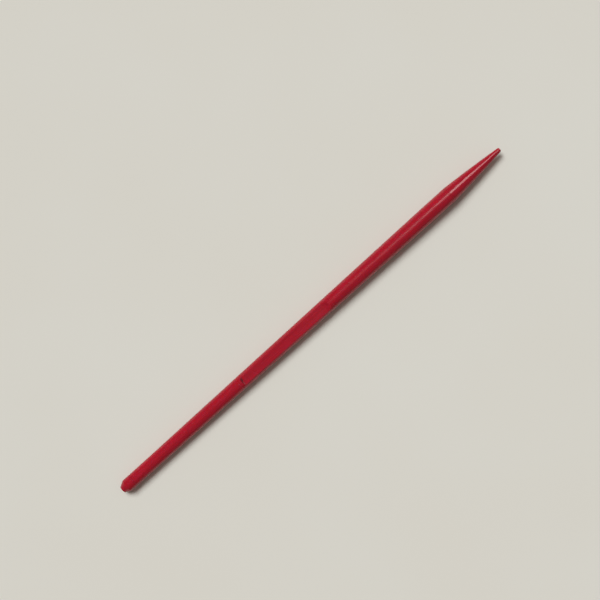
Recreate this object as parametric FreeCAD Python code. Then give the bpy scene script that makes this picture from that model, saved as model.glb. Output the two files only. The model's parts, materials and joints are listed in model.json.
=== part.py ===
"""Slim hollow pencil float, lying on its side.

The float's axis runs along +X, from the blunt tail to the pointed sight tip. The row's origin is
under the middle of the float, on the surface that it lies on, and +Z is up. Lengths are in
millimetres. Stations along the axis are distances from the tail's end face.
"""

import FreeCAD
import Part

import math
import os

# --- Driving dimensions ---------------------------------------------------------------------
LENGTH = 150.0  # tail face to the end of the sight tip
TAIL_R = 2.03  # radius of the straight stem at the tail
SHOULDER_R = 2.555  # radius of the straight land behind the sight tip

STEM_END = 15.4  # the straight stem ends here, and the taper starts
LAND_START = 122.0  # the taper ends here, and the straight land starts
SHOULDER = 130.0  # the land ends here, and the sight tip starts
SLEEVE_START = 46.6  # seam between the lower tube and the centre sleeve
SLEEVE_END = 82.9  # seam between the centre sleeve and the upper tube
PLUG_SEAM = 4.4  # seam between the tail plug and the lower tube

LOWER_BORE_R = 1.55
UPPER_BORE_R = 1.90
SEAM_BREAK = 0.06  # broken edge at each side of a seam
SEAT_GAP = 0.02  # gap at the seam of a plug that pulls out
SLIP = 0.03  # radial clearance of a plug that pulls out
GLUE = 0.02  # radial glue gap of a fixed spigot

# Tail plug
TAIL_FACE_R = 1.10
TAIL_CHAMFER = 1.80
TAIL_FACE_BREAK = 0.12
PLUG_SPIGOT = 8.0
PLUG_BORE_START = 7.4

# Sight tip
TIP_END_R = 0.66
TIP_ROUND = 0.32
TIP_BULGE = 0.11  # how far the tip's side stands out from a straight cone
TIP_SPIGOT = 9.0
TIP_CORE_R = 0.95
TIP_CORE_END_R = 0.60
TIP_CORE_END = 138.0
CORE_POINT = 0.5  # length of the drill-like point at the end of a blind bore

# Centre sleeve
FLAT_HALF = 1.74  # from the axis to each of the two flats
FLAT_START = 48.0  # the level floor of each flat runs from here
FLAT_END = 80.2  # to here, and past each end it runs out in an arc
TAIL_RUNOUT_R = 0.5  # radius of the short, steep arc at the tail end of a flat
TIP_RUNOUT_R = 3.0  # radius of the gentle arc at its tip end
SLEEVE_SPIGOT = 7.0
SLEEVE_CORE_R = 1.05
SLEEVE_WEB = 2.4  # solid web that shuts the two air chambers off from each other

# Seals
SEAL_SECTION_R = 0.25
SEAL_SLACK = 0.02  # the ring stands this far off the bore
GROOVE_SLACK = 0.01  # and this far off the groove's floor
GROOVE_WIDTH = 0.70
TAIL_GROOVE = 5.6
TIP_GROOVE = 126.6

# Ballast
BALLAST_R = 0.90
BALLAST_LENGTH = 18.0
BALLAST_BREAK = 0.15
LEAD_IN = 0.30  # chamfer on the leading edge of every spigot

SEAL_OUTER = {"tail": LOWER_BORE_R - SEAL_SLACK, "tip": UPPER_BORE_R - SEAL_SLACK}


def body_radius(x):
    """Outside radius of the tubes and the sleeve at a station between the stem and the land."""
    share = (x - STEM_END) / (LAND_START - STEM_END)
    return TAIL_R + (SHOULDER_R - TAIL_R) * min(max(share, 0.0), 1.0)


def groove_floor(outer):
    """Radius of the groove's floor under a seal whose outside radius is given."""
    return outer - 2.0 * SEAL_SECTION_R - GROOVE_SLACK


def point(x, r):
    """A point of an outline, at a station and a radius."""
    return FreeCAD.Vector(x, 0.0, r)


def outline_edges(stops):
    """Edges through the stops, in order. A stop (x, r) ends a straight edge, and a stop
    (x, r, mid_x, mid_r) ends an arc through that middle point."""
    edges = []
    start = point(*stops[0])
    for stop in stops[1:]:
        end = point(*stop[:2])
        if len(stop) == 4:
            edges.append(Part.Arc(start, point(*stop[2:]), end).toShape())
        else:
            edges.append(Part.LineSegment(start, end).toShape())
        start = end
    return edges


def turned(stops):
    """The solid turned about the axis from a closed outline."""
    edges = outline_edges(list(stops) + [stops[0][:2]])
    face = Part.Face(Part.Wire(edges))
    solid = face.revolve(FreeCAD.Vector(0, 0, 0), FreeCAD.Vector(1, 0, 0), 360.0)
    if solid.ShapeType != "Solid":
        solid = Part.Solid(solid.Shells[0])
    if solid.Volume < 0:
        solid.reverse()
    return solid


def seal_ring(groove_start, outer):
    """A round-section ring, centred in its groove."""
    centre = FreeCAD.Vector(groove_start + GROOVE_WIDTH / 2.0, 0, 0)
    return Part.makeTorus(outer - SEAL_SECTION_R, SEAL_SECTION_R, centre, FreeCAD.Vector(1, 0, 0))


def rounded_corner(x, r, radius):
    """Stops for a convex quarter round from a side at radius r to an end face at station x."""
    reach = radius * (1.0 - math.sqrt(0.5))
    return [(x, r - radius, x - reach, r - reach)]


def tail_plug():
    """Blunt, chamfered end plug, with a seal groove and a blind bore that holds the ballast."""
    spigot_r = LOWER_BORE_R - SLIP
    spigot_end = PLUG_SEAM + PLUG_SPIGOT
    floor = groove_floor(SEAL_OUTER["tail"])
    return turned([
        (0.0, 0.0),
        (0.0, TAIL_FACE_R - TAIL_FACE_BREAK),
        (TAIL_FACE_BREAK, TAIL_FACE_R),
        (TAIL_CHAMFER, TAIL_R),
        (PLUG_SEAM - SEAM_BREAK, TAIL_R),
        (PLUG_SEAM, TAIL_R - SEAM_BREAK),
        (PLUG_SEAM, spigot_r),
        (TAIL_GROOVE, spigot_r),
        (TAIL_GROOVE, floor),
        (TAIL_GROOVE + GROOVE_WIDTH, floor),
        (TAIL_GROOVE + GROOVE_WIDTH, spigot_r),
        (spigot_end - LEAD_IN, spigot_r),
        (spigot_end, spigot_r - LEAD_IN),
        (spigot_end, BALLAST_R),
        (PLUG_BORE_START, BALLAST_R),
        (PLUG_BORE_START - CORE_POINT, 0.0),
    ])


def lower_tube():
    """Thin tube: a straight stem at the tail, then the taper up to the centre sleeve."""
    start = PLUG_SEAM + SEAT_GAP
    end_r = body_radius(SLEEVE_START)
    return turned([
        (start, LOWER_BORE_R),
        (start, TAIL_R - SEAM_BREAK),
        (start + SEAM_BREAK, TAIL_R),
        (STEM_END, TAIL_R),
        (SLEEVE_START - SEAM_BREAK, end_r),
        (SLEEVE_START, end_r - SEAM_BREAK),
        (SLEEVE_START, LOWER_BORE_R),
    ])


def runout_point(station, radius, angle):
    """A point of the arc that a flat runs out in, at an angle from the arc's foot. The arc's foot
    is at the station, and a negative angle is towards the tail."""
    return (station + radius * math.sin(angle), FLAT_HALF + radius * (1.0 - math.cos(angle)))


def flat_cutter():
    """What is cut away above one flat: a bar whose level underside curves up at its ends."""
    steep = -math.pi / 2.0
    gentle = math.acos(1.0 - (SHOULDER_R - FLAT_HALF) / TIP_RUNOUT_R)
    tail_top = runout_point(FLAT_START, TAIL_RUNOUT_R, steep)
    tip_top = runout_point(FLAT_END, TIP_RUNOUT_R, gentle)
    outline = [
        (tail_top[0], SHOULDER_R),
        tail_top,
        (FLAT_START, FLAT_HALF, *runout_point(FLAT_START, TAIL_RUNOUT_R, steep / 2.0)),
        (FLAT_END, FLAT_HALF),
        (*tip_top, *runout_point(FLAT_END, TIP_RUNOUT_R, gentle / 2.0)),
    ]
    side = Part.Face(Part.Wire(outline_edges(outline + [outline[0]])))
    side.translate(FreeCAD.Vector(0, -SHOULDER_R, 0))
    return side.extrude(FreeCAD.Vector(0, 2.0 * SHOULDER_R, 0))


def centre_sleeve():
    """Joining sleeve with a spigot at each end, a solid web in the middle and two flats."""
    low_r = LOWER_BORE_R - GLUE
    high_r = UPPER_BORE_R - GLUE
    low_end = SLEEVE_START - SLEEVE_SPIGOT
    high_end = SLEEVE_END + SLEEVE_SPIGOT
    web_start = (SLEEVE_START + SLEEVE_END - SLEEVE_WEB) / 2.0
    web_end = web_start + SLEEVE_WEB
    sleeve = turned([
        (web_start, 0.0),
        (web_start - CORE_POINT, SLEEVE_CORE_R),
        (low_end, SLEEVE_CORE_R),
        (low_end, low_r - LEAD_IN),
        (low_end + LEAD_IN, low_r),
        (SLEEVE_START, low_r),
        (SLEEVE_START, body_radius(SLEEVE_START) - SEAM_BREAK),
        (SLEEVE_START + SEAM_BREAK, body_radius(SLEEVE_START + SEAM_BREAK)),
        (SLEEVE_END - SEAM_BREAK, body_radius(SLEEVE_END - SEAM_BREAK)),
        (SLEEVE_END, body_radius(SLEEVE_END) - SEAM_BREAK),
        (SLEEVE_END, high_r),
        (high_end - LEAD_IN, high_r),
        (high_end, high_r - LEAD_IN),
        (high_end, SLEEVE_CORE_R),
        (web_end + CORE_POINT, SLEEVE_CORE_R),
        (web_end, 0.0),
    ])
    upper = flat_cutter()
    lower = flat_cutter()
    lower.rotate(FreeCAD.Vector(0, 0, 0), FreeCAD.Vector(1, 0, 0), 180.0)
    return sleeve.cut(upper).cut(lower).Solids[0]


def upper_tube():
    """Thin tube: the rest of the taper, then the straight land behind the sight tip."""
    start_r = body_radius(SLEEVE_END)
    end = SHOULDER - SEAT_GAP
    return turned([
        (SLEEVE_END, UPPER_BORE_R),
        (SLEEVE_END, start_r - SEAM_BREAK),
        (SLEEVE_END + SEAM_BREAK, start_r),
        (LAND_START, SHOULDER_R),
        (end - SEAM_BREAK, SHOULDER_R),
        (end, SHOULDER_R - SEAM_BREAK),
        (end, UPPER_BORE_R),
    ])


def sight_tip():
    """Pointed tip with slightly full sides and a blunt end, cored out, on a sealed spigot."""
    spigot_r = UPPER_BORE_R - SLIP
    spigot_start = SHOULDER - TIP_SPIGOT
    floor = groove_floor(SEAL_OUTER["tip"])
    side_start = SHOULDER + SEAM_BREAK
    side_end = LENGTH - TIP_ROUND
    mid = ((side_start + side_end) / 2.0, (SHOULDER_R + TIP_END_R) / 2.0 + TIP_BULGE)
    return turned([
        (SHOULDER, SHOULDER_R - SEAM_BREAK),
        (side_start, SHOULDER_R),
        (side_end, TIP_END_R, *mid),
        *rounded_corner(LENGTH, TIP_END_R, TIP_ROUND),
        (LENGTH, 0.0),
        (TIP_CORE_END + CORE_POINT, 0.0),
        (TIP_CORE_END, TIP_CORE_END_R),
        (spigot_start, TIP_CORE_R),
        (spigot_start, spigot_r - LEAD_IN),
        (spigot_start + LEAD_IN, spigot_r),
        (TIP_GROOVE, spigot_r),
        (TIP_GROOVE, floor),
        (TIP_GROOVE + GROOVE_WIDTH, floor),
        (TIP_GROOVE + GROOVE_WIDTH, spigot_r),
        (SHOULDER, spigot_r),
    ])


def ballast_rod():
    """Brass rod, pressed into the tail plug, that makes the float stand up in the water."""
    end = PLUG_BORE_START + BALLAST_LENGTH
    return turned([
        (PLUG_BORE_START, 0.0),
        (PLUG_BORE_START, BALLAST_R - BALLAST_BREAK),
        (PLUG_BORE_START + BALLAST_BREAK, BALLAST_R),
        (end - BALLAST_BREAK, BALLAST_R),
        (end, BALLAST_R - BALLAST_BREAK),
        (end, 0.0),
    ])


def pieces():
    """Every piece of the float, by node name, in its place along the axis."""
    return {
        "sight_tip": sight_tip(),
        "tip_seal": seal_ring(TIP_GROOVE, SEAL_OUTER["tip"]),
        "upper_tube": upper_tube(),
        "centre_sleeve": centre_sleeve(),
        "lower_tube": lower_tube(),
        "tail_plug": tail_plug(),
        "tail_seal": seal_ring(TAIL_GROOVE, SEAL_OUTER["tail"]),
        "ballast_rod": ballast_rod(),
    }


def main():
    os.makedirs("parts", exist_ok=True)
    to_row = FreeCAD.Vector(-LENGTH / 2.0, 0.0, SHOULDER_R)
    for name, shape in pieces().items():
        shape.translate(to_row)
        box = shape.BoundBox
        print(f"{name:14s} valid {shape.isValid()} solids {len(shape.Solids)} "
              f"volume {shape.Volume:8.2f} mm3  x {box.XMin:7.2f} to {box.XMax:7.2f}")
        shape.exportStep(f"parts/{name}.step")


main()
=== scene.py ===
"""Looks of a slim moulded pencil float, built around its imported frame.

Every visible piece is turned, shaped and finished here in the frame's own coordinates. The float
lies along +X with its pointed sight tip at the high end. Sizes inside the classes are in
millimetres, with stations measured along the axis from the tail's end face.
"""

import json
import logging
import math
from dataclasses import dataclass, replace
from enum import Enum
from functools import partial
from typing import Any, Callable, Sequence

import bmesh
import bpy
from mathutils import Matrix, Vector


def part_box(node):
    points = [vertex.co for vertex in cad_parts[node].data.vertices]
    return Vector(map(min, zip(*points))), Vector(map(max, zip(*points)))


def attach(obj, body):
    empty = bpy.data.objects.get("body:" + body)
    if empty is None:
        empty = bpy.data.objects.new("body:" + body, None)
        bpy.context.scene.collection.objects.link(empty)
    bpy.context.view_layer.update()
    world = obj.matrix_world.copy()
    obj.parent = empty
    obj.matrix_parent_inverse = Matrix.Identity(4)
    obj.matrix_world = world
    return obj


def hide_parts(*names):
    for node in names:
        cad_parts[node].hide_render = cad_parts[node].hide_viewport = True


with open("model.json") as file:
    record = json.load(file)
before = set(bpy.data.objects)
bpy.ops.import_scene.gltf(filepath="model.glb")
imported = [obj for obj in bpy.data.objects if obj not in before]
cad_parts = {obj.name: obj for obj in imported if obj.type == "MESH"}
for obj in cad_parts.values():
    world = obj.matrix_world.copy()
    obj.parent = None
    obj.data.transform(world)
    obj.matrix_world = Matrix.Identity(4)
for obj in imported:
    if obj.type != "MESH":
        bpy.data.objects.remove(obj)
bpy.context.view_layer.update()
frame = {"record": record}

MM = 0.001
ON_AXIS = 1e-6  # an outline's point this near the axis is a single point, not a ring
SHARP_EDGE = 32.0  # faces that meet at more than this angle, in degrees, aren't shaded as one
LEAD_IN = 0.30  # chamfer on the end of each spigot

# Rounds that moulding and turning leave on the corners of the float's pieces.
LIP_ROUND = 0.03  # edges of grooves and of turned faces
ROOT_ROUND = 0.04  # floors of grooves, and corners that a glued joint hides
BORE_ROUND = 0.05  # ends of bores and roots of spigots
LEAD_ROUND = 0.06  # edges at the leading end of a spigot
CORE_ROUND = 0.1  # where the cone of a core pin starts
BEND_ROUND = 8.0  # the soft bends at the two ends of the taper

log = logging.getLogger("pencil_float")


# --- Shared helpers -------------------------------------------------------------------------


def linear(srgb: str) -> tuple[float, float, float, float]:
    """Turns an sRGB colour into the linear one that shaders take.

    Args:
        srgb: Colour as "#RRGGBB".

    Returns:
        Linear red, green and blue, with an alpha of 1.
    """
    shares = [int(srgb[i:i + 2], 16) / 255.0 for i in (1, 3, 5)]
    toned = [c / 12.92 if c <= 0.04045 else ((c + 0.055) / 1.055) ** 2.4 for c in shares]
    return (toned[0], toned[1], toned[2], 1.0)


def add_node(tree: bpy.types.NodeTree, kind: str, inputs: dict[Any, Any], **settings: Any) -> Any:
    """Adds a node, sets it up and links it.

    Args:
        tree: Node tree that the node goes in.
        kind: Node type without its "ShaderNode", such as "TexNoise".
        inputs: Each socket's name or number, with its value or what feeds it: an output, or a
            node for its first output.
        **settings: The node's own settings, by attribute name.

    Returns:
        The new node.
    """
    node = tree.nodes.new("ShaderNode" + kind)
    for name, value in settings.items():
        setattr(node, name, value)
    for socket, value in inputs.items():
        if isinstance(value, bpy.types.Node):
            value = value.outputs[0]
        if isinstance(value, bpy.types.NodeSocket):
            tree.links.new(value, node.inputs[socket])
        else:
            node.inputs[socket].default_value = value
    return node


def add_object(name: str, data: bpy.types.ID) -> bpy.types.Object:
    """Puts a mesh, a lamp or a lens in the scene.

    Args:
        name: Name of the new object.
        data: What the object shows.

    Returns:
        The new object.
    """
    made = bpy.data.objects.new(name, data)
    bpy.context.scene.collection.objects.link(made)
    return made


def smooth_min(a: float, b: float, width: float) -> float:
    """The lesser of two lengths, eased over a width where they are nearly equal.

    Args:
        a: First length.
        b: Second length.
        width: Difference below which the two blend.

    Returns:
        A length that is never above the lesser one.
    """
    share = max(width - abs(a - b), 0.0) / width
    return min(a, b) - share * share * width / 4.0


def bell(offset: float, reach: float) -> float:
    """A bump that is 1 at no offset and dies away over the reach."""
    return math.exp(-((offset / reach) ** 2))


# --- Outlines -------------------------------------------------------------------------------


class Skin(Enum):
    """How a stretch of a surface was formed."""

    CAVITY = "between the two halves of the mould, so it has a parting line"
    CORE = "on a core pin, in a sleeve or by a cutting tool, so it has none"


@dataclass(frozen=True)
class Corner:
    """One corner of an outline that is turned about the axis.

    Attributes:
        x: Station along the axis.
        r: Distance from the axis.
        blend: Radius of the round that softens the corner.
        skin: How the stretch that ends at this corner was formed.
        bulge: How far that stretch stands out from a straight line at its middle.
    """

    x: float
    r: float
    blend: float = 0.0
    skin: Skin = Skin.CORE
    bulge: float = 0.0


@dataclass(frozen=True)
class Station:
    """One point of a traced outline.

    Attributes:
        x: Station along the axis.
        r: Distance from the axis.
        skin: How the surface was formed here.
        wear: How much a raised edge is rubbed here, from 0 to 1.
        painted_shade: How much painted shade darkens a recess here, from 0 to 1.
    """

    x: float
    r: float
    skin: Skin = Skin.CORE
    wear: float = 0.0
    painted_shade: float = 0.0


@dataclass(frozen=True)
class Tracer:
    """Turns corners into closely spaced stations.

    Attributes:
        spacing: Longest step along a straight stretch.
        support: Distance of the extra station beside each round, which keeps shading crisp.
        arc_step: Largest turn between two stations of a round, in degrees.
        room: Largest share of a corner's shorter side that its round takes up.
        least_turn: Turn below which a corner needs no round, in radians.
    """

    spacing: float = 0.9
    support: float = 0.035
    arc_step: float = 11.0
    room: float = 0.45
    least_turn: float = 0.01

    def trace(self, corners: Sequence[Corner]) -> list[Station]:
        """Traces an outline.

        Args:
            corners: The outline's corners in order. An outline that doesn't start on the axis is
                a loop, as in a tube, so its last corner joins the first.

        Returns:
            The stations in order.
        """
        count = len(corners)
        closed = corners[0].r > ON_AXIS
        area = sum(a.x * b.r - b.x * a.r for a, b in zip(corners, [*corners[1:], corners[0]]))
        rounds = []
        for i, corner in enumerate(corners):
            inner = closed or 0 < i < count - 1
            before, after = corners[i - 1], corners[(i + 1) % count]
            rounds.append(self._round(before, corner, after, area) if inner else self._plain(corner))
        stations: list[Station] = []
        for i in range(count if closed else count - 1):
            target = (i + 1) % count
            stations += rounds[i]
            stations += self._stretch(rounds[i][-1], rounds[target][0], corners[target], area)
        return stations if closed else stations + rounds[-1]

    def _plain(self, corner: Corner) -> list[Station]:
        """The single station of a corner that isn't rounded."""
        return [Station(corner.x, corner.r, corner.skin)]

    def _round(self, before: Corner, at: Corner, after: Corner, area: float) -> list[Station]:
        """Traces the round at one corner.

        Args:
            before: The corner before it.
            at: The corner itself.
            after: The corner after it.
            area: Signed area of the outline, which tells inside from outside.

        Returns:
            The round's stations, or one station where the corner is sharp.
        """
        here = Vector((at.x, at.r))
        come = here - Vector((before.x, before.r))
        go = Vector((after.x, after.r)) - here
        turn = come.angle(go)
        if at.blend <= 0.0 or turn < self.least_turn:
            return self._plain(at)
        setback = min(at.blend * math.tan(turn / 2.0), self.room * min(come.length, go.length))
        radius = setback / math.tan(turn / 2.0)
        come.normalize()
        go.normalize()
        side = math.copysign(1.0, come.x * go.y - come.y * go.x)
        centre = here - come * setback + Vector((-come.y, come.x)) * side * radius
        spoke = here - come * setback - centre
        raised = side * area > 0.0
        both = at.skin is Skin.CAVITY and after.skin is Skin.CAVITY
        steps = max(2, math.ceil(math.degrees(turn) / self.arc_step))
        found = []
        for k in range(steps + 1):
            arm = Matrix.Rotation(side * turn * k / steps, 2) @ spoke
            crest = math.sin(math.pi * k / steps) * min(1.0, turn)
            # Convex rounds get wear; concave rounds are darkened with painted shade, as a corner's
            # shade.
            found.append(Station(
                centre.x + arm.x, centre.y + arm.y, Skin.CAVITY if both else Skin.CORE,
                wear=crest if raised else 0.0, painted_shade=0.0 if raised else crest,
            ))
        return found

    def _stretch(self, start: Station, end: Station, target: Corner, area: float) -> list[Station]:
        """Traces the inside of the stretch between two rounds.

        Args:
            start: Last station of the round before it.
            end: First station of the round after it.
            target: The corner that the stretch leads to.
            area: Signed area of the outline.

        Returns:
            The stations between the two ends, without the ends.
        """
        a, b = Vector((start.x, start.r)), Vector((end.x, end.r))
        span = (b - a).length
        if span < 3.0 * self.support:  # too short to hold any
            return []
        out = Vector((b.y - a.y, a.x - b.x)).normalized() * math.copysign(1.0, area)
        edge = self.support / span
        steps = max(1, math.ceil(span * (1.0 - 2.0 * edge) / self.spacing))
        found = []
        for k in range(steps + 1):
            share = edge + (1.0 - 2.0 * edge) * k / steps
            at = a.lerp(b, share) + out * 4.0 * target.bulge * share * (1.0 - share)
            found.append(Station(at.x, at.y, target.skin))
        return found


# --- Rings ----------------------------------------------------------------------------------


@dataclass(frozen=True)
class RoundSection:
    """Rings of a round piece that was moulded between two halves.

    Attributes:
        steps: Number of even steps round a ring.
        scrape: How far the trimmed parting line sits below the round.
        scrape_reach: Half the trimmed strip's width, in degrees.
        witness_reach: Half the width of the fine line left in the strip's middle, in degrees.
        line_steps: Where the extra points beside a parting line are, in degrees from it.
    """

    steps: int = 96
    scrape: float = 0.014
    scrape_reach: float = 5.0
    witness_reach: float = 0.8
    line_steps: tuple[float, ...] = (2.3, 1.3, 0.6)

    def angles(self, x: float) -> list[float]:
        """Angles of a ring's points.

        Args:
            x: The ring's station.

        Returns:
            Angles from the top towards +Y, in radians, in order.
        """
        even = [360.0 * k / self.steps for k in range(self.steps)]
        beside = [line + way * step
                  for line in (90.0, 270.0) for way in (-1, 1) for step in self.line_steps]
        return [math.radians(a) for a in sorted(even + beside)]

    def radius(self, station: Station, angle: float) -> float:
        """Distance of a ring's point from the axis.

        Args:
            station: The ring's station.
            angle: The point's angle from the top, in radians.

        Returns:
            The distance from the axis.
        """
        if station.skin is Skin.CORE:
            return station.r
        away = abs(abs(math.degrees(math.remainder(angle, math.tau))) - 90.0)
        dip = bell(away, self.scrape_reach) - bell(away, self.witness_reach)
        return station.r - self.scrape * dip

    def marks(self, station: Station, angle: float) -> tuple[float, float]:
        """Wear and painted shade of a ring's point, as (wear, soil)."""
        return station.wear, station.painted_shade


@dataclass(frozen=True)
class FlattedSection(RoundSection):
    """Rings of a round piece with two opposite flats that run out in arcs.

    Attributes:
        half: Distance of each flat from the axis.
        start: Where the level floor of a flat starts.
        end: Where it ends.
        tail_runout: Radius of the steep arc at a flat's tail end.
        tip_runout: Radius of the gentle arc at its tip end.
        ease: Width over which a flat's edge is rounded, less where the flat runs out.
        full_depth: Depth of cut from which it is rounded in full.
        least_ease: Smallest share of that rounding.
        sink: Depth of the shallow dish that cooling leaves in a flat.
        dish_reach: Half the width of that dish.
        dish_fade: Length over which it fades in from each end.
        nick_x: Station of the old nick at the foot of the steep arc, in the upper flat only.
        nick_y: How far the nick's middle is from the centre line, towards +Y.
        nick_lean: How far along the nick moves for each length across.
        nick_width: Half its width.
        nick_reach: Half its length.
        nick_depth: Its depth.
        rub_reach: How far from a flat's edge the rubbing goes.
        foot_painted_shade: Most painted shade on the foot of the steep arc, where it darkens and
            dulls the wall's glint.
        foot_back: How far behind the floor's start the painted shade is darkest.
        foot_reach: Half the width of the strip of painted shade.
        least_edge: Least angle at which the closely stepped strip beside a flat's edge is
            centred, in degrees from the top.
        most_spread: Greatest half width of that strip, in degrees.
        side_end: Where the even steps down the side end, in degrees from the top.
        each_steps: Number of steps across half of a flat, across the strip, and down the side.
        top_limit: Least cosine of the angle of a point on the upper flat.
        side_limit: Cosine of the angle past which the cut no longer meets a ring.
    """

    half: float = 1.74
    start: float = 48.0
    end: float = 80.2
    tail_runout: float = 0.5
    tip_runout: float = 3.0
    ease: float = 0.05
    full_depth: float = 0.3
    least_ease: float = 0.2
    sink: float = 0.018
    dish_reach: float = 0.8
    dish_fade: float = 1.0
    nick_x: float = 47.96
    nick_y: float = 0.4
    nick_lean: float = 0.26
    nick_width: float = 0.26
    nick_reach: float = 0.85
    nick_depth: float = 0.12
    rub_reach: float = 0.04
    foot_painted_shade: float = 0.45
    foot_back: float = 0.15
    foot_reach: float = 0.22
    least_edge: float = 7.0
    most_spread: float = 4.0
    side_end: float = 86.0
    each_steps: tuple[int, int, int] = (14, 10, 12)
    top_limit: float = 0.5
    side_limit: float = 0.2

    def crests(self) -> tuple[float, float]:
        """Finds where the two arcs come out through the round at the top.

        Returns:
            The steep arc's station and the gentle arc's.
        """
        found = []
        arcs = ((self.start, self.tail_runout, -1.0), (self.end, self.tip_runout, 1.0))
        for foot, radius, way in arcs:
            depth = ANATOMY.body_radius(foot + way * radius / 2.0) - self.half
            found.append(foot + way * math.sqrt(radius ** 2 - (radius - depth) ** 2))
        return found[0], found[1]

    def level(self, x: float) -> float:
        """Height of the cut above the axis.

        Args:
            x: Station along the axis.

        Returns:
            The height, which is infinite past the arcs.
        """
        radius = self.tail_runout if x < self.start else self.tip_runout
        past = max(self.start - x, x - self.end, 0.0)
        if past >= radius:
            return math.inf
        return self.half + radius - math.sqrt(radius ** 2 - past ** 2)

    def angles(self, x: float) -> list[float]:
        """Angles of a ring's points, gathered beside the flats' edges and the parting lines.

        Args:
            x: The ring's station.

        Returns:
            Angles from the top towards +Y, in radians, in order.
        """
        share = min(self.level(x) / ANATOMY.body_radius(x), 1.0)
        edge = max(math.degrees(math.acos(share)), self.least_edge)
        spread = min(self.most_spread, edge / 2.0)
        quarter: list[float] = []
        ends = (0.0, edge - spread, edge + spread, self.side_end)
        for first, last, steps in zip(ends, ends[1:], self.each_steps):
            quarter += [first + (last - first) * k / steps for k in range(steps)]
        quarter += [self.side_end] + [90.0 - step for step in self.line_steps]
        half = quarter + [90.0] + [180.0 - a for a in reversed(quarter[1:])]
        return [math.radians(a) for a in half + [180.0] + [360.0 - a for a in reversed(half[1:])]]

    def radius(self, station: Station, angle: float) -> float:
        """Distance of a ring's point from the axis, with the flats and the nick cut.

        Args:
            station: The ring's station.
            angle: The point's angle from the top, in radians.

        Returns:
            The distance from the axis.
        """
        full = super().radius(station, angle)
        if station.skin is Skin.CORE:
            return full
        upright = abs(math.cos(angle))
        if upright > self.side_limit:
            cut = self.level(station.x) - self.dish(station.x, angle)
            share = min(max((station.r - cut) / self.full_depth, self.least_ease), 1.0)
            full = smooth_min(full, cut / upright, self.ease * share)
        return full - self.nick_depth * self.nick(station.x, angle)

    def dish(self, x: float, angle: float) -> float:
        """Depth of the sink mark at a point of a flat.

        Args:
            x: Station along the axis.
            angle: The point's angle from the top, in radians.

        Returns:
            The depth, which fades out towards the flat's ends and sides.
        """
        across = self.half * math.tan(angle)
        inside = min(x - self.start, self.end - x) / self.dish_fade
        return self.sink * bell(across, self.dish_reach) * min(max(inside, 0.0), 1.0)

    def nick(self, x: float, angle: float) -> float:
        """How deep in the old nick a point is, from 0 to 1.

        Args:
            x: Station along the axis.
            angle: The point's angle from the top, in radians.

        Returns:
            The share of the nick's depth there.
        """
        if math.cos(angle) <= self.top_limit:
            return 0.0
        across = self.half * math.tan(angle) - self.nick_y
        along = x - self.nick_x - self.nick_lean * across
        return bell(along, self.nick_width) * bell(across, self.nick_reach)

    def marks(self, station: Station, angle: float) -> tuple[float, float]:
        """Wear and painted shade of a ring's point.

        Args:
            station: The ring's station.
            angle: The point's angle from the top, in radians.

        Returns:
            Wear along the flats' edges, and painted shade darkening the nick and the foot of the
            steep arc.
        """
        if station.skin is Skin.CORE:
            return super().marks(station, angle)
        lift = self.level(station.x) / max(abs(math.cos(angle)), self.side_limit)
        wear = max(bell(lift - station.r, self.rub_reach), station.wear)
        # Painted shade: the nick and the foot of the steep arc are darkened.
        painted_shade = max(self.nick(station.x, angle), station.painted_shade)
        if lift < station.r:
            along = station.x - self.start + self.foot_back
            painted_shade = max(painted_shade, self.foot_painted_shade * bell(along, self.foot_reach))
        return wear, painted_shade


def turn_piece(
    name: str, stations: Sequence[Station], section: RoundSection = RoundSection()
) -> bpy.types.Object:
    """Builds the mesh that a traced outline sweeps round the axis.

    Args:
        name: Name of the new piece.
        stations: The outline, which is a loop unless it starts on the axis.
        section: What a ring looks like at each station.

    Returns:
        The new object, with its wear and its painted shade stored on its points.
    """
    shape = bmesh.new()
    wear = shape.verts.layers.float.new("wear")
    painted_shade = shape.verts.layers.float.new("painted_shade")
    rings = []
    for station in stations:
        on_axis = station.r < ON_AXIS
        ring = []
        for angle in [0.0] if on_axis else section.angles(station.x):
            r = 0.0 if on_axis else section.radius(station, angle)
            vertex = shape.verts.new(ANATOMY.place(station.x, r, angle))
            vertex[wear], vertex[painted_shade] = section.marks(station, angle)
            ring.append(vertex)
        rings.append(ring)
    pairs = list(zip(rings, rings[1:]))
    if stations[0].r > ON_AXIS:
        pairs.append((rings[-1], rings[0]))
    for one, two in pairs:
        for k in range(max(len(one), len(two))):
            lower = [one[k % len(one)], one[(k + 1) % len(one)]]
            upper = [two[(k + 1) % len(two)], two[k % len(two)]]
            shape.faces.new(list(dict.fromkeys(lower + upper)))
    bmesh.ops.recalc_face_normals(shape, faces=shape.faces)
    mesh = bpy.data.meshes.new(name)
    shape.to_mesh(mesh)
    shape.free()
    mesh.polygons.foreach_set("use_smooth", [True] * len(mesh.polygons))
    mesh.set_sharp_from_angle(angle=math.radians(SHARP_EDGE))
    return add_object(name, mesh)


# --- Sizes from the frame -------------------------------------------------------------------


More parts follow.
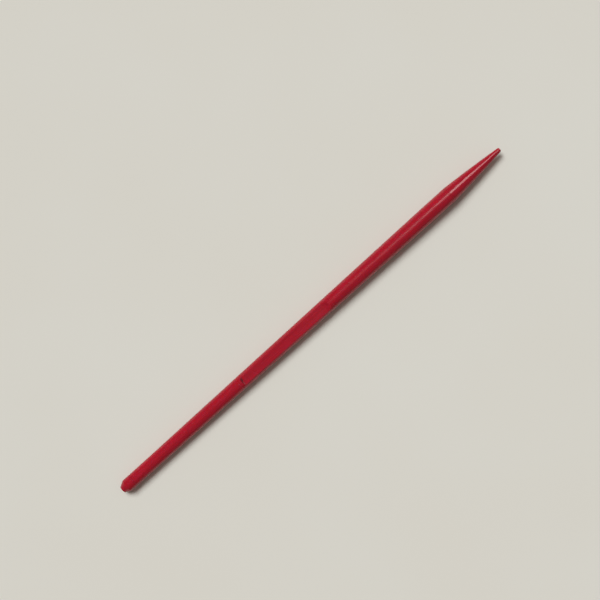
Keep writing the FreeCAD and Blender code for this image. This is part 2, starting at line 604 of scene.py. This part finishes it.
@dataclass(frozen=True)
class Anatomy:
    """The float's main sizes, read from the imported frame.

    Attributes:
        tail_x: Where the tail's end face is in the frame, in metres.
        axis_z: Height of the axis in the frame, in metres.
        tail_r: Radius of the straight stem.
        shoulder_r: Radius of the straight land behind the sight tip.
        stem_end: Where the taper starts.
        land_start: Where it ends.
        flat_half: Distance of the centre sleeve's flats from the axis.
    """

    tail_x: float
    axis_z: float
    tail_r: float
    shoulder_r: float
    stem_end: float
    land_start: float
    flat_half: float

    @classmethod
    def from_frame(cls) -> "Anatomy":
        """Reads the sizes.

        Returns:
            The float's anatomy.
        """
        mounts = {m["name"]: m for m in frame["record"]["mounts"]}
        stem, land, flat = (mounts[n] for n in ("tail_stem", "shoulder_land", "panel_flat"))
        tail_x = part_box("tail_plug")[0].x
        axis_z = stem["pos_m"][2]
        low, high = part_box("upper_tube")
        stem_end = (stem["pos_m"][0] - tail_x) / MM + stem["dims"]["length_mm"] / 2.0
        land_start = (land["pos_m"][0] - tail_x) / MM - land["dims"]["length_mm"] / 2.0
        return cls(
            tail_x=tail_x,
            axis_z=axis_z,
            tail_r=stem["dims"]["r_mm"],
            shoulder_r=min(high.z - axis_z, axis_z - low.z, high.y) / MM,
            stem_end=stem_end,
            land_start=land_start,
            flat_half=(flat["pos_m"][2] - axis_z) / MM,
        )

    def body_radius(self, x: float) -> float:
        """Radius of the float's outside at a station.

        Args:
            x: Station along the axis.

        Returns:
            The radius there.
        """
        share = (x - self.stem_end) / (self.land_start - self.stem_end)
        return self.tail_r + (self.shoulder_r - self.tail_r) * min(max(share, 0.0), 1.0)

    def place(self, x: float, r: float, angle: float) -> Vector:
        """A point of the frame.

        Args:
            x: Station along the axis.
            r: Distance from the axis.
            angle: Angle from the top towards +Y, in radians.

        Returns:
            The point, in metres.
        """
        across, up = r * math.sin(angle), r * math.cos(angle)
        return Vector((self.tail_x + x * MM, across * MM, self.axis_z + up * MM))

    def span(self, node: str) -> tuple[float, float]:
        """First and last station of one of the frame's nodes."""
        low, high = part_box(node)
        return (low.x - self.tail_x) / MM, (high.x - self.tail_x) / MM

    def reach(self, node: str) -> float:
        """Greatest distance of one of the frame's nodes from the axis."""
        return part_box(node)[1].y / MM


ANATOMY = Anatomy.from_frame()


# --- Finishes -------------------------------------------------------------------------------


Adder = Callable[..., Any]  # add_node with its tree filled in


@dataclass(frozen=True)
class Finish:
    """What every finish shares: how its surface becomes a material.

    Attributes:
        name: Name of the material.
    """

    name: str

    def surface(self, add: Adder, place: bpy.types.NodeSocket) -> dict[str, Any]:
        """Adds the nodes of the surface's patterns.

        Args:
            add: Adds a node to the material.
            place: Where the shaded point is on the object.

        Returns:
            The surface shader's inputs.
        """
        raise NotImplementedError

    def material(self) -> bpy.types.Material:
        """Builds the material.

        Returns:
            The new material.
        """
        made = bpy.data.materials.new(self.name)
        made.use_nodes = True
        made.node_tree.nodes.clear()
        add = partial(add_node, made.node_tree)
        place = add("TexCoord", {}).outputs["Object"]
        shader = add("BsdfPrincipled", self.surface(add, place))
        add("OutputMaterial", {"Surface": shader})
        return made


@dataclass(frozen=True)
class MouldedStyrene(Finish):
    """Polystyrene coloured through with red pigment and injection-moulded in a polished tool.

    Attributes:
        body: Main colour.
        streak: Darker colour of the flow streaks that the pigment leaves.
        rubbed: Paler colour of edges whose gloss is rubbed off.
        painted_shade_colour: Dark colour painted as shade into concave corners, the nick and the
            steep arc's foot.
        ior: Index of refraction of the skin, a little under that of clear polystyrene.
        gloss: Roughness of the untouched surface.
        haze: How much rougher than that the dulled patches are.
        glow: Share of light that scatters under the skin.
    """

    name: str = "injection_moulded_polystyrene_red"
    body: str = "#A90E28"
    streak: str = "#940C20"
    rubbed: str = "#B53A4B"
    painted_shade_colour: str = "#3C0A12"
    ior: float = 1.5
    gloss: float = 0.235
    haze: float = 0.04
    glow: float = 0.4

    def surface(self, add: Adder, place: bpy.types.NodeSocket) -> dict[str, Any]:
        """Adds the nodes of the pigment, wear, painted shade, scratches and ripple.

        Args:
            add: Adds a node to the material.
            place: Where the shaded point is on the object.

        Returns:
            The surface shader's inputs.
        """
        wear = add("Attribute", {}, attribute_name="wear").outputs["Fac"]
        painted_shade = add("Attribute", {}, attribute_name="painted_shade").outputs["Fac"]

        # Pigment drawn out along the flow of the melt: faint streaks 9 mm long and 0.5 mm wide.
        along = add("Mapping", {0: place, "Scale": (1 / 9.0, 1 / 0.5, 1 / 0.5)})
        flow = add("TexNoise", {0: along, "Scale": 1000.0, "Detail": 3.0})
        # Pigment specks of about 0.2 mm.
        specks = add("TexNoise", {0: place, "Scale": 1000 / 0.2, "Detail": 2.0})
        mottle = add("Math", {0: flow, 1: specks}, operation="MULTIPLY")
        tone = add("MapRange", {0: mottle, 1: 0.12, 2: 0.42, 3: 0.0, 4: 0.75})
        base = add("Mix", {0: tone, 6: linear(self.body), 7: linear(self.streak)}, data_type="RGBA")

        # Rubbing takes the gloss off raised edges in patches of about 0.6 mm.
        patch = add("TexNoise", {0: place, "Scale": 1000 / 0.6, "Detail": 4.0})
        rubbed = add("Math", {0: wear, 1: patch}, operation="MULTIPLY")
        rubbed_tone = add("MapRange", {0: rubbed, 1: 0.2, 2: 0.7, 3: 0.0, 4: 0.5})
        worn = add("Mix", {
            0: rubbed_tone, 6: base.outputs[2], 7: linear(self.rubbed),
        }, data_type="RGBA")
        # Painted shade: concave corners, the nick and the steep arc's foot are darkened towards the
        # shade colour and made rougher.
        painted_shade_share = add("MapRange", {0: painted_shade, 1: 0.1, 2: 0.9, 3: 0.0, 4: 0.85})
        colour = add("Mix", {0: painted_shade_share, 6: worn.outputs[2], 7: linear(self.painted_shade_colour)}, data_type="RGBA")

        # Handling scratches, mostly lengthways: 5 mm long, drawn 0.06 mm wide so that they show.
        drag = add("Mapping", {0: place, "Scale": (1 / 5.0, 1 / 0.06, 1 / 0.06)})
        hair = add("TexNoise", {0: drag, "Scale": 1000.0, "Detail": 1.0})
        scratch = add("MapRange", {0: hair, 1: 0.66, 2: 0.74})
        # Dulled patches about 9 mm across.
        patches = add("TexNoise", {0: place, "Scale": 1000 / 9.0, "Detail": 2.0})
        rough = add("MapRange", {
            0: patches, 1: 0.35, 2: 0.7, 3: self.gloss, 4: self.gloss + self.haze})
        # Scratches, rubbed edges and the painted shade each add their own roughness to that.
        for mark, roughness in ((scratch, 0.12), (rubbed_tone, 0.3), (painted_shade_share, 0.4)):
            rough = add("Math", {0: mark, 1: roughness, 2: rough}, operation="MULTIPLY_ADD")

        # The polished tool still leaves a faint ripple about 2.5 mm across.
        ripple = add("TexNoise", {0: place, "Scale": 1000 / 2.5, "Detail": 1.0})
        soft = add("Bump", {"Strength": 0.1, "Distance": 0.012 * MM, "Height": ripple})
        cut = add("Bump", {
            "Strength": 0.3, "Distance": 0.004 * MM, "Height": scratch, "Normal": soft,
        }, invert=True)
        return {
            "Base Color": colour.outputs[2], "Roughness": rough, "IOR": self.ior,
            "Subsurface Weight": self.glow, "Subsurface Radius": (1.2, 0.1, 0.08),
            "Subsurface Scale": MM, "Normal": cut,
        }


@dataclass(frozen=True)
class NitrileRubber(Finish):
    """Black nitrile rubber, moulded: satin, with a thin grey bloom.

    Attributes:
        body: Main colour.
        bloom: Colour of the waxy bloom.
        ior: Index of refraction.
        gloss: Roughness of the skin.
        dulling: How much rougher than that the bloom is.
    """

    name: str = "moulded_nitrile_rubber_black"
    body: str = "#17171A"
    bloom: str = "#3A3A3C"
    ior: float = 1.52
    gloss: float = 0.46
    dulling: float = 0.15

    def surface(self, add: Adder, place: bpy.types.NodeSocket) -> dict[str, Any]:
        """Adds the nodes of the bloom and grain.

        Args:
            add: Adds a node to the material.
            place: Where the shaded point is on the object.

        Returns:
            The surface shader's inputs.
        """
        # Bloom in soft patches of about 0.5 mm.
        cloud = add("TexNoise", {0: place, "Scale": 1000 / 0.5, "Detail": 4.0})
        share = add("MapRange", {0: cloud, 1: 0.4, 2: 0.75, 3: 0.0, 4: 0.6})
        colour = add("Mix", {
            0: share, 6: linear(self.body), 7: linear(self.bloom),
        }, data_type="RGBA")
        rough = add("MapRange", {
            0: cloud, 1: 0.3, 2: 0.8, 3: self.gloss, 4: self.gloss + self.dulling})
        # Fine grain of the tool, drawn 0.08 mm across so that it shows.
        grain = add("TexNoise", {0: place, "Scale": 1000 / 0.08, "Detail": 2.0})
        bump = add("Bump", {"Strength": 0.4, "Distance": 0.005 * MM, "Height": grain})
        return {"Base Color": colour.outputs[2], "Roughness": rough, "IOR": self.ior,
                "Normal": bump}


@dataclass(frozen=True)
class TurnedBrass(Finish):
    """Free-cutting brass bar, turned and lightly tarnished.

    Attributes:
        body: Colour of the bright metal.
        tarnish: Colour of the dull brown film.
        gloss: Roughness of the bright metal.
        dulling: How much rougher than that the film is.
    """

    name: str = "turned_brass"
    body: str = "#DDB668"
    tarnish: str = "#9A6B33"
    gloss: float = 0.2
    dulling: float = 0.2

    def surface(self, add: Adder, place: bpy.types.NodeSocket) -> dict[str, Any]:
        """Adds the nodes of the tool lines and tarnish.

        Args:
            add: Adds a node to the material.
            place: Where the shaded point is on the object.

        Returns:
            The surface shader's inputs.
        """
        # Tool lines round the bar, one each feed of 0.1 mm, drawn at 0.2 mm so that they show. A
        # wave texture has 20 / tau waves in each scaled unit, which the first factor takes out.
        rings = add("TexWave", {
            0: place, "Scale": math.tau / 20.0 * 1000 / 0.2, "Distortion": 0.4, "Detail": 1.0,
        }, bands_direction="X")
        # Tarnish in patches of about 1.5 mm.
        film = add("TexNoise", {0: place, "Scale": 1000 / 1.5, "Detail": 5.0})
        share = add("MapRange", {0: film, 1: 0.42, 2: 0.72, 3: 0.0, 4: 0.7})
        colour = add("Mix", {
            0: share, 6: linear(self.body), 7: linear(self.tarnish),
        }, data_type="RGBA")
        rough = add("MapRange", {
            0: film, 1: 0.3, 2: 0.8, 3: self.gloss, 4: self.gloss + self.dulling})
        bump = add("Bump", {
            "Strength": 0.35, "Distance": 0.006 * MM, "Height": rings.outputs["Fac"]})
        return {"Base Color": colour.outputs[2], "Roughness": rough, "Metallic": 1.0,
                "Normal": bump}


@dataclass(frozen=True)
class MattLaminate(Finish):
    """Pale desk laminate, pressed with a fine tooth that makes it matt.

    Attributes:
        body: Main colour.
        drift: Colour that it drifts towards.
    """

    name: str = "matt_desk_laminate"
    body: str = "#DAD9D2"
    drift: str = "#DBDBD5"

    def surface(self, add: Adder, place: bpy.types.NodeSocket) -> dict[str, Any]:
        """Adds the nodes of the drift of tone and tooth.

        Args:
            add: Adds a node to the material.
            place: Where the shaded point is on the object.

        Returns:
            The surface shader's inputs.
        """
        # Broad, barely visible drift of tone, about 60 mm across.
        broad = add("TexNoise", {0: place, "Scale": 1000 / 60.0, "Detail": 2.0})
        share = add("MapRange", {0: broad, 1: 0.3, 2: 0.7})
        colour = add("Mix", {
            0: share, 6: linear(self.body), 7: linear(self.drift),
        }, data_type="RGBA")
        # Fine tooth of the surface, about 0.5 mm.
        tooth = add("TexNoise", {0: place, "Scale": 1000 / 0.5, "Detail": 2.0})
        bump = add("Bump", {"Strength": 0.15, "Distance": 0.02 * MM, "Height": tooth})
        return {"Base Color": colour.outputs[2], "Roughness": 0.7, "Specular IOR Level": 0.2,
                "Normal": bump}


class Slot(Enum):
    """Material slots of the record."""

    RED_PLASTIC = "red_plastic"
    SEAL_RUBBER = "seal_rubber"
    BALLAST_BRASS = "ballast_brass"


Materials = dict[Slot, bpy.types.Material]


def make_materials() -> Materials:
    """Builds each slot's material once.

    Returns:
        The materials by slot.
    """
    finishes = {Slot.RED_PLASTIC: MouldedStyrene(), Slot.SEAL_RUBBER: NitrileRubber(),
                Slot.BALLAST_BRASS: TurnedBrass()}
    return {slot: finish.material() for slot, finish in finishes.items()}


# --- Pieces ---------------------------------------------------------------------------------


def dress(piece: bpy.types.Object, materials: Materials, slot: Slot, body: str, node: str) -> None:
    """Gives a piece its finish and its place in the frame.

    Args:
        piece: The finished piece.
        materials: Each slot's material.
        slot: The record's slot that the piece belongs to.
        body: The body that the piece moves with.
        node: The frame's node that the piece stands for.
    """
    piece.data.materials.append(materials[slot])
    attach(piece, body)
    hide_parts(node)
    log.info("%s: %d faces, rides on %s", piece.name, len(piece.data.polygons), body)


@dataclass(frozen=True)
class SealGroove:
    """The groove in a spigot that holds a seal.

    Attributes:
        start: Where it starts.
        floor_r: Radius of its floor.
        width: Its width.
    """

    start: float
    floor_r: float
    width: float = 0.70

    def corners(self, outer_r: float) -> list[Corner]:
        """Corners of the groove.

        Args:
            outer_r: Radius of the spigot that it is cut in.

        Returns:
            The corners, from the groove's start to its end.
        """
        end = self.start + self.width
        return [
            Corner(self.start, outer_r, LIP_ROUND),
            Corner(self.start, self.floor_r, ROOT_ROUND),
            Corner(end, self.floor_r, ROOT_ROUND),
            Corner(end, outer_r, LIP_ROUND),
        ]


def spigot(
    root: float, end: float, r: float, root_blend: float, groove: Sequence[Corner] = ()
) -> list[Corner]:
    """Corners of the thinner end that plugs a piece into the next one.

    Args:
        root: Where it starts, at the piece's shoulder.
        end: Where it ends, in a chamfer that leads it in.
        r: Its radius.
        root_blend: Round at its root.
        groove: Corners of its seal's groove, from root to end.

    Returns:
        The corners, from root to end.
    """
    way = math.copysign(LEAD_IN, end - root)
    return [Corner(root, r, root_blend), *groove,
            Corner(end - way, r, LEAD_ROUND), Corner(end, r - LEAD_IN, LEAD_ROUND)]


@dataclass
class RubberSeal:
    """A round-section rubber ring in its groove.

    Attributes:
        node: The frame's node that it stands for.
        body: The body that it moves with.
        flash: How far the trimmed flash stands out, inside and outside.
        flash_reach: Half the flash's width, as the sine of its angle round the section.
        facets: Number of steps round the section.
    """

    node: str
    body: str
    flash: float = 0.006
    flash_reach: float = 0.12
    facets: int = 32

    def build(self) -> bpy.types.Object:
        """Builds the ring.

        Returns:
            The ring.
        """
        start, end = ANATOMY.span(self.node)
        middle, section = (start + end) / 2.0, (end - start) / 2.0
        centre_r = ANATOMY.reach(self.node) - section
        stations = []
        for k in range(self.facets):
            angle = math.tau * k / self.facets
            thick = section - self.flash * (1.0 - bell(math.sin(angle), self.flash_reach))
            stations.append(
                Station(middle + thick * math.sin(angle), centre_r + thick * math.cos(angle)))
        return turn_piece(f"{self.node}_ring", stations)

    def dress(self, materials: Materials) -> None:
        """Builds the ring and gives it its rubber."""
        dress(self.build(), materials, Slot.SEAL_RUBBER, self.body, self.node)


@dataclass
class TailAssembly:
    """The blunt plug that pulls out of the tail, with its seal and its brass ballast.

    Attributes:
        end_face: Outline of the end face, with the trimmed gate in its middle.
        chamfer: Length of the chamfer behind the face.
        chamfer_blend: Round where the chamfer meets the stem.
        seam: Where the plug's shoulder meets the lower tube.
        seam_blend: Round on the shoulder's edge.
        spigot_r: Radius of the spigot.
        groove: The seal's groove.
        bore_point: Length of the bore's conical end.
        bar_slack: How much thinner than its bore the ballast is, on each side.
        bar_break: Chamfer on the ballast's ends.
        bar_blend: Round where that chamfer meets its side.
        bar_face: How far the ballast's free end lies behind its pip's edge.
        pip: Outline of the pip that parting off leaves there, from the pip's edge.
    """

    end_face: tuple[Corner, ...] = (
        Corner(0.02, 0.0),  # middle of the gate's stub
        Corner(0.02, 0.32, 0.02),  # its edge
        Corner(0.065, 0.38, 0.03),  # its foot
        Corner(0.05, 0.80, 0.15),  # foot of the rim round the face
        Corner(0.0, 0.96, 0.05),  # crest of the rim
        Corner(0.05, 1.08, 0.10),  # start of the chamfer
    )
    chamfer: float = 1.80
    chamfer_blend: float = 0.45
    seam: float = 4.40
    seam_blend: float = 0.06
    spigot_r: float = 1.52
    groove: SealGroove = SealGroove(start=5.60, floor_r=1.02)
    bore_point: float = 0.5
    bar_slack: float = 0.002
    bar_break: float = 0.15
    bar_blend: float = 0.04
    bar_face: float = 0.04
    pip: tuple[Corner, ...] = (
        Corner(-0.06, 0.26, 0.03),  # its foot
        Corner(0.0, 0.16, 0.04),  # its edge
        Corner(-0.02, 0.0),  # the hollow in its middle
    )

    def build_plug(self) -> bpy.types.Object:
        """Builds the plug.

        Returns:
            The plug.
        """
        bore_start, _ = ANATOMY.span("ballast_rod")
        bore_r = ANATOMY.reach("ballast_rod")
        _, end = ANATOMY.span("tail_plug")
        corners = [
            *self.end_face,
            Corner(self.chamfer, ANATOMY.tail_r, self.chamfer_blend, Skin.CAVITY),
            Corner(self.seam, ANATOMY.tail_r, self.seam_blend, Skin.CAVITY),
            *spigot(self.seam, end, self.spigot_r, BORE_ROUND, self.groove.corners(self.spigot_r)),
            Corner(end, bore_r, BORE_ROUND),
            Corner(bore_start, bore_r, BORE_ROUND),
            Corner(bore_start - self.bore_point, 0.0),
        ]
        return turn_piece("tail_plug_moulding", Tracer().trace(corners))

    def build_ballast(self) -> bpy.types.Object:
        """Builds the ballast bar, with a parting-off pip on its free end.

        Returns:
            The bar.
        """
        start, end = ANATOMY.span("ballast_rod")
        r = ANATOMY.reach("ballast_rod") - self.bar_slack
        face = end - self.bar_face
        corners = [
            Corner(start, 0.0),
            Corner(start, r - self.bar_break, LIP_ROUND),
            Corner(start + self.bar_break, r, self.bar_blend),
            Corner(face - self.bar_break, r, self.bar_blend),
            Corner(face, r - self.bar_break, LIP_ROUND),
            *(replace(corner, x=end + corner.x) for corner in self.pip),
        ]
        return turn_piece("ballast_bar", Tracer().trace(corners))

    def dress(self, materials: Materials) -> None:
        """Builds the pieces and gives them their finishes.

        Args:
            materials: Each slot's material.
        """
        dress(self.build_plug(), materials, Slot.RED_PLASTIC, "tail", "tail_plug")
        dress(self.build_ballast(), materials, Slot.BALLAST_BRASS, "tail", "ballast_rod")
        RubberSeal("tail_seal", "tail").dress(materials)


@dataclass
class HollowBody:
    """The two thin tubes and the centre sleeve that joins them.

    Attributes:
        lower_bore_r: Radius of the lower tube's bore.
        upper_bore_r: Radius of the upper tube's bore.
        glue: Radial gap of the glued spigots.
        seam_blend: Round on each edge at a seam.
        mouth_blend: Round inside the mouths that the end pieces enter.
        sleeve_core_r: Radius of the sleeve's blind bores.
        web: Thickness of the wall between the two air chambers.
        core_point: Length of the blind bores' conical ends.
        spigot: Length of each spigot.
        sleeve_spacing: Longest step along the sleeve.
        fine_step: Longest step where a flat of the sleeve runs out.
        fine_past: How far past the arcs the fine steps go.
        fine_floor: How far on to the floor they go at the steep arc's foot.
    """

    lower_bore_r: float = 1.55
    upper_bore_r: float = 1.90
    glue: float = 0.02
    seam_blend: float = 0.07
    mouth_blend: float = 0.12
    sleeve_core_r: float = 1.05
    web: float = 2.4
    core_point: float = 0.5
    spigot: float = 7.0
    sleeve_spacing: float = 0.7
    fine_step: float = 0.04
    fine_past: float = 0.15
    fine_floor: float = 0.5

    def build_tube(
        self, node: str, bend: float, bore_r: float, low_blend: float, high_blend: float
    ) -> bpy.types.Object:
        """Builds one of the two tubes.

        Args:
            node: The frame's node that it stands for.
            bend: Where its taper meets its straight stretch.
            bore_r: Radius of its bore.
            low_blend: Round on the bore's end towards the tail.
            high_blend: Round on the bore's other end.

        Returns:
            The tube.
        """
        start, end = ANATOMY.span(node)
        corners = [
            Corner(start, bore_r, low_blend),
            Corner(start, ANATOMY.body_radius(start), self.seam_blend),
            Corner(bend, ANATOMY.body_radius(bend), BEND_ROUND, Skin.CAVITY),
            Corner(end, ANATOMY.body_radius(end), self.seam_blend, Skin.CAVITY),
            Corner(end, bore_r, high_blend),
        ]
        return turn_piece(f"{node}_moulding", Tracer().trace(corners))

    def build_sleeve(self) -> bpy.types.Object:
        """Builds the sleeve, with a spigot at each end and two flats.

        Returns:
            The sleeve.
        """
        low_end, high_end = ANATOMY.span("centre_sleeve")
        start, end = low_end + self.spigot, high_end - self.spigot
        low_r, high_r = self.lower_bore_r - self.glue, self.upper_bore_r - self.glue
        web_start = (start + end - self.web) / 2.0
        web_end = web_start + self.web
        section = FlattedSection(half=ANATOMY.flat_half)
        tail_crest, tip_crest = section.crests()
        corners = [
            Corner(web_start, 0.0),
            Corner(web_start - self.core_point, self.sleeve_core_r, CORE_ROUND),
            Corner(low_end, self.sleeve_core_r, BORE_ROUND),
            *spigot(start, low_end, low_r, ROOT_ROUND)[::-1],
            Corner(start, ANATOMY.body_radius(start), self.seam_blend),
            *(Corner(x, ANATOMY.body_radius(x), 0.0, Skin.CAVITY)
              for x in (tail_crest, section.start, section.end, tip_crest)),
            Corner(end, ANATOMY.body_radius(end), self.seam_blend, Skin.CAVITY),
            *spigot(end, high_end, high_r, ROOT_ROUND),
            Corner(high_end, self.sleeve_core_r, BORE_ROUND),
            Corner(web_end + self.core_point, self.sleeve_core_r, CORE_ROUND),
            Corner(web_end, 0.0),
        ]
        outline = Tracer(spacing=self.sleeve_spacing).trace(corners)
        stations = self._finer_runouts(outline, section)
        return turn_piece("centre_sleeve_moulding", stations, section)

    def _finer_runouts(self, outline: list[Station], section: FlattedSection) -> list[Station]:
        """Adds stations where the flats run out, so that their arcs are smooth.

        Args:
            outline: The sleeve's outline.
            section: The sleeve's rings, which know where the flats run out.

        Returns:
            The outline with fine steps there.
        """
        tail_crest, tip_crest = section.crests()
        found: list[Station] = []
        for here, after in zip(outline, outline[1:] + outline[:1]):
            found.append(here)
            middle = (here.x + after.x) / 2.0
            at_tail = tail_crest - self.fine_past < middle < section.start + self.fine_floor
            at_tip = section.end < middle < tip_crest + self.fine_past
            outside = here.skin is Skin.CAVITY and after.skin is Skin.CAVITY
            if not (outside and (at_tail or at_tip)):
                continue
            steps = math.ceil(abs(after.x - here.x) / self.fine_step)
            for share in (k / steps for k in range(1, steps)):
                x = here.x + (after.x - here.x) * share
                found.append(Station(x, here.r + (after.r - here.r) * share, Skin.CAVITY))
        return found

    def dress(self, materials: Materials) -> None:
        """Builds the three pieces and gives them their plastic.

        Args:
            materials: Each slot's material.
        """
        lower = self.build_tube(
            "lower_tube", ANATOMY.stem_end, self.lower_bore_r, self.mouth_blend, ROOT_ROUND)
        dress(lower, materials, Slot.RED_PLASTIC, "body", "lower_tube")
        dress(self.build_sleeve(), materials, Slot.RED_PLASTIC, "body", "centre_sleeve")
        upper = self.build_tube(
            "upper_tube", ANATOMY.land_start, self.upper_bore_r, ROOT_ROUND, self.mouth_blend)
        dress(upper, materials, Slot.RED_PLASTIC, "body", "upper_tube")


@dataclass
class TipAssembly:
    """The pointed sight tip that pulls out of the upper tube, with its seal.

    Attributes:
        seam_blend: Round on the shoulder's edge.
        spigot: Length of the spigot.
        spigot_r: Radius of the spigot.
        groove: Where the seal's groove starts, from the spigot's end.
        groove_r: Radius of the groove's floor.
        core_r: Radius of the core hole at its mouth.
        core_end_r: Radius of the core hole at its end.
        core_length: Length of the core hole from the spigot's end.
        core_point: Length of its conical end.
        end_r: Radius of the blunt point before it is rounded.
        end_round: Radius of the round on the point.
        bulge: How far the tip's side stands out from a straight cone.
    """

    seam_blend: float = 0.06
    spigot: float = 9.0
    spigot_r: float = 1.87
    groove: float = 5.6
    groove_r: float = 1.37
    core_r: float = 0.95
    core_end_r: float = 0.60
    core_length: float = 17.0
    core_point: float = 0.5
    end_r: float = 0.66
    end_round: float = 0.32
    bulge: float = 0.11

    def build_tip(self) -> bpy.types.Object:
        """Builds the tip.

        Returns:
            The tip.
        """
        start, end = ANATOMY.span("sight_tip")
        shoulder = start + self.spigot
        core_end = start + self.core_length
        groove = SealGroove(start + self.groove, self.groove_r).corners(self.spigot_r)
        corners = [
            Corner(core_end + self.core_point, 0.0),
            Corner(core_end, self.core_end_r, BORE_ROUND),
            Corner(start, self.core_r, LEAD_ROUND),
            *spigot(shoulder, start, self.spigot_r, BORE_ROUND, groove[::-1])[::-1],
            Corner(shoulder, ANATOMY.shoulder_r, self.seam_blend),
            Corner(end, self.end_r, self.end_round, Skin.CAVITY, bulge=self.bulge),
            Corner(end, 0.0),
        ]
        return turn_piece("sight_tip_moulding", Tracer().trace(corners))

    def dress(self, materials: Materials) -> None:
        """Builds the pieces and gives them their finishes."""
        dress(self.build_tip(), materials, Slot.RED_PLASTIC, "tip", "sight_tip")
        RubberSeal("tip_seal", "tip").dress(materials)


# --- Studio ---------------------------------------------------------------------------------


class LampKind(Enum):
    """Kinds of lamp: a far one that only lights surfaces, and a panel that only glints in them."""

    DISTANT = "SUN"
    PANEL = "AREA"


@dataclass(frozen=True)
class Lamp:
    """A soft lamp that faces the float.

    Attributes:
        name: Name of the lamp.
        kind: Whether it is a far, broad light or a square panel.
        lean_x: How far it leans towards the sight tip, in degrees from straight up.
        lean_y: How far it leans towards +Y, in degrees from straight up.
        strength: Strength in watts a square metre for a distant lamp, and in watts for a panel.
        spread: Width in degrees for a distant lamp, and side in metres for a panel.
        colour: Colour of the light.
        distance: Distance from the float, in metres.
    """

    name: str
    kind: LampKind
    lean_x: float
    lean_y: float
    strength: float
    spread: float
    colour: str
    distance: float = 1.5

    def add(self) -> None:
        """Adds the lamp to the scene."""
        lamp = bpy.data.lights.new(self.name, self.kind.value)
        if self.kind is LampKind.DISTANT:
            lamp.angle = math.radians(self.spread)
        else:
            lamp.size = self.spread
        lamp.energy = self.strength
        lamp.color = linear(self.colour)[:3]
        light = add_object(self.name, lamp)
        light.visible_glossy = self.kind is LampKind.PANEL
        light.visible_diffuse = self.kind is LampKind.DISTANT
        lean_x, lean_y = math.radians(self.lean_x), math.radians(self.lean_y)
        away = Vector((math.tan(lean_x), math.tan(lean_y), 1.0)).normalized()
        facing = away.to_track_quat("Z", "Y").to_matrix().to_4x4()
        light.matrix_world = Matrix.Translation(away * self.distance) @ facing


@dataclass
class Studio:
    """Floor, lights and camera.

    Attributes:
        floor_side: Side of the square floor, in metres.
        field: Width of the view at the float's axis, in metres.
        camera_height: Height of the camera over the axis, in metres.
        turn: Angle of the float's axis in the view, in degrees.
        aim: Point that the view is centred on, from the middle of the float, in metres.
        fill: Colour of the room's dim fill light.
        fill_power: Strength of that fill.
        wall: Colour of the pale wall that closes the view past the floor.
        sensor: Width of the camera's sensor, in millimetres.
        clip_start: Nearest distance that the camera sees, in metres.
    """

    floor_side: float = 60.0
    field: float = 0.1772
    camera_height: float = 0.33
    turn: float = 42.08
    aim: tuple[float, float] = (0.0014, 0.0065)
    fill: str = "#FFE9DC"
    fill_power: float = 0.2
    wall: str = "#D6D2C8"
    sensor: float = 36.0
    clip_start: float = 0.01

    def lamps(self) -> list[Lamp]:
        """The studio's lamps: one that lights the surfaces and one that glints in them."""
        return [
            Lamp("ceiling_light", LampKind.DISTANT, 0.0, 33.0, 2.81, 29.0, "#FDFFFD"),
            Lamp("tip_side_panel", LampKind.PANEL, 23.0, 14.5, 6.2, 0.55, "#FFFEFC"),
        ]

    def build_floor(self) -> None:
        """Lays the pale floor so that the tapered float touches it at its shoulder and tail."""
        run = (ANATOMY.land_start - TailAssembly.chamfer) * MM
        rise = (ANATOMY.shoulder_r - ANATOMY.tail_r) * MM
        touch_x = ANATOMY.tail_x + ANATOMY.land_start * MM
        half = self.floor_side / 2.0
        outline = [(-half, -half), (half, -half), (half, half), (-half, half)]
        mesh = bpy.data.meshes.new("floor")
        mesh.from_pydata([(x, y, (touch_x - x) * rise / run) for x, y in outline], [], [range(4)])
        mesh.materials.append(MattLaminate().material())
        add_object("floor", mesh)

    def build_camera(self) -> None:
        """Places the camera straight above the float."""
        lens = bpy.data.cameras.new("camera")
        lens.sensor_width = self.sensor
        lens.lens = self.sensor * self.camera_height / self.field
        lens.clip_start = self.clip_start
        camera = add_object("camera", lens)
        angle = math.radians(self.turn)
        right = Vector((math.cos(angle), -math.sin(angle), 0.0))
        up = Vector((math.sin(angle), math.cos(angle), 0.0))
        turned = Matrix((right, up, Vector((0.0, 0.0, 1.0)))).transposed().to_4x4()
        above = Vector((*self.aim, ANATOMY.axis_z + self.camera_height))
        camera.matrix_world = Matrix.Translation(above) @ turned
        bpy.context.scene.camera = camera

    def build_room(self) -> None:
        """Sets the room's dim fill light, its pale far wall and the plain tone curve."""
        world = bpy.data.worlds.new("room")
        world.use_nodes = True
        tree = world.node_tree
        tree.nodes.clear()
        add = partial(add_node, tree)
        fill = add("Background", {"Color": linear(self.fill), "Strength": self.fill_power})
        wall = add("Background", {"Color": linear(self.wall)})
        seen = add("LightPath", {}).outputs["Is Camera Ray"]
        room = add("MixShader", {0: seen, 1: fill, 2: wall})
        add("OutputWorld", {"Surface": room})
        bpy.context.scene.world = world
        bpy.context.scene.view_settings.view_transform = "Standard"
        bpy.context.scene.view_settings.look = "None"

    def build(self) -> None:
        """Builds the whole studio."""
        self.build_camera()
        self.build_floor()
        self.build_room()
        for lamp in self.lamps():
            lamp.add()
            log.info("studio: %s", lamp.name)


def main() -> None:
    """Builds the float piece by piece, from tail to tip, in its studio."""
    logging.basicConfig(level=logging.INFO, format="%(name)s: %(message)s")
    Studio().build()
    materials = make_materials()
    for assembly in (TailAssembly(), HollowBody(), TipAssembly()):
        assembly.dress(materials)


if __name__ == "__main__":
    main()
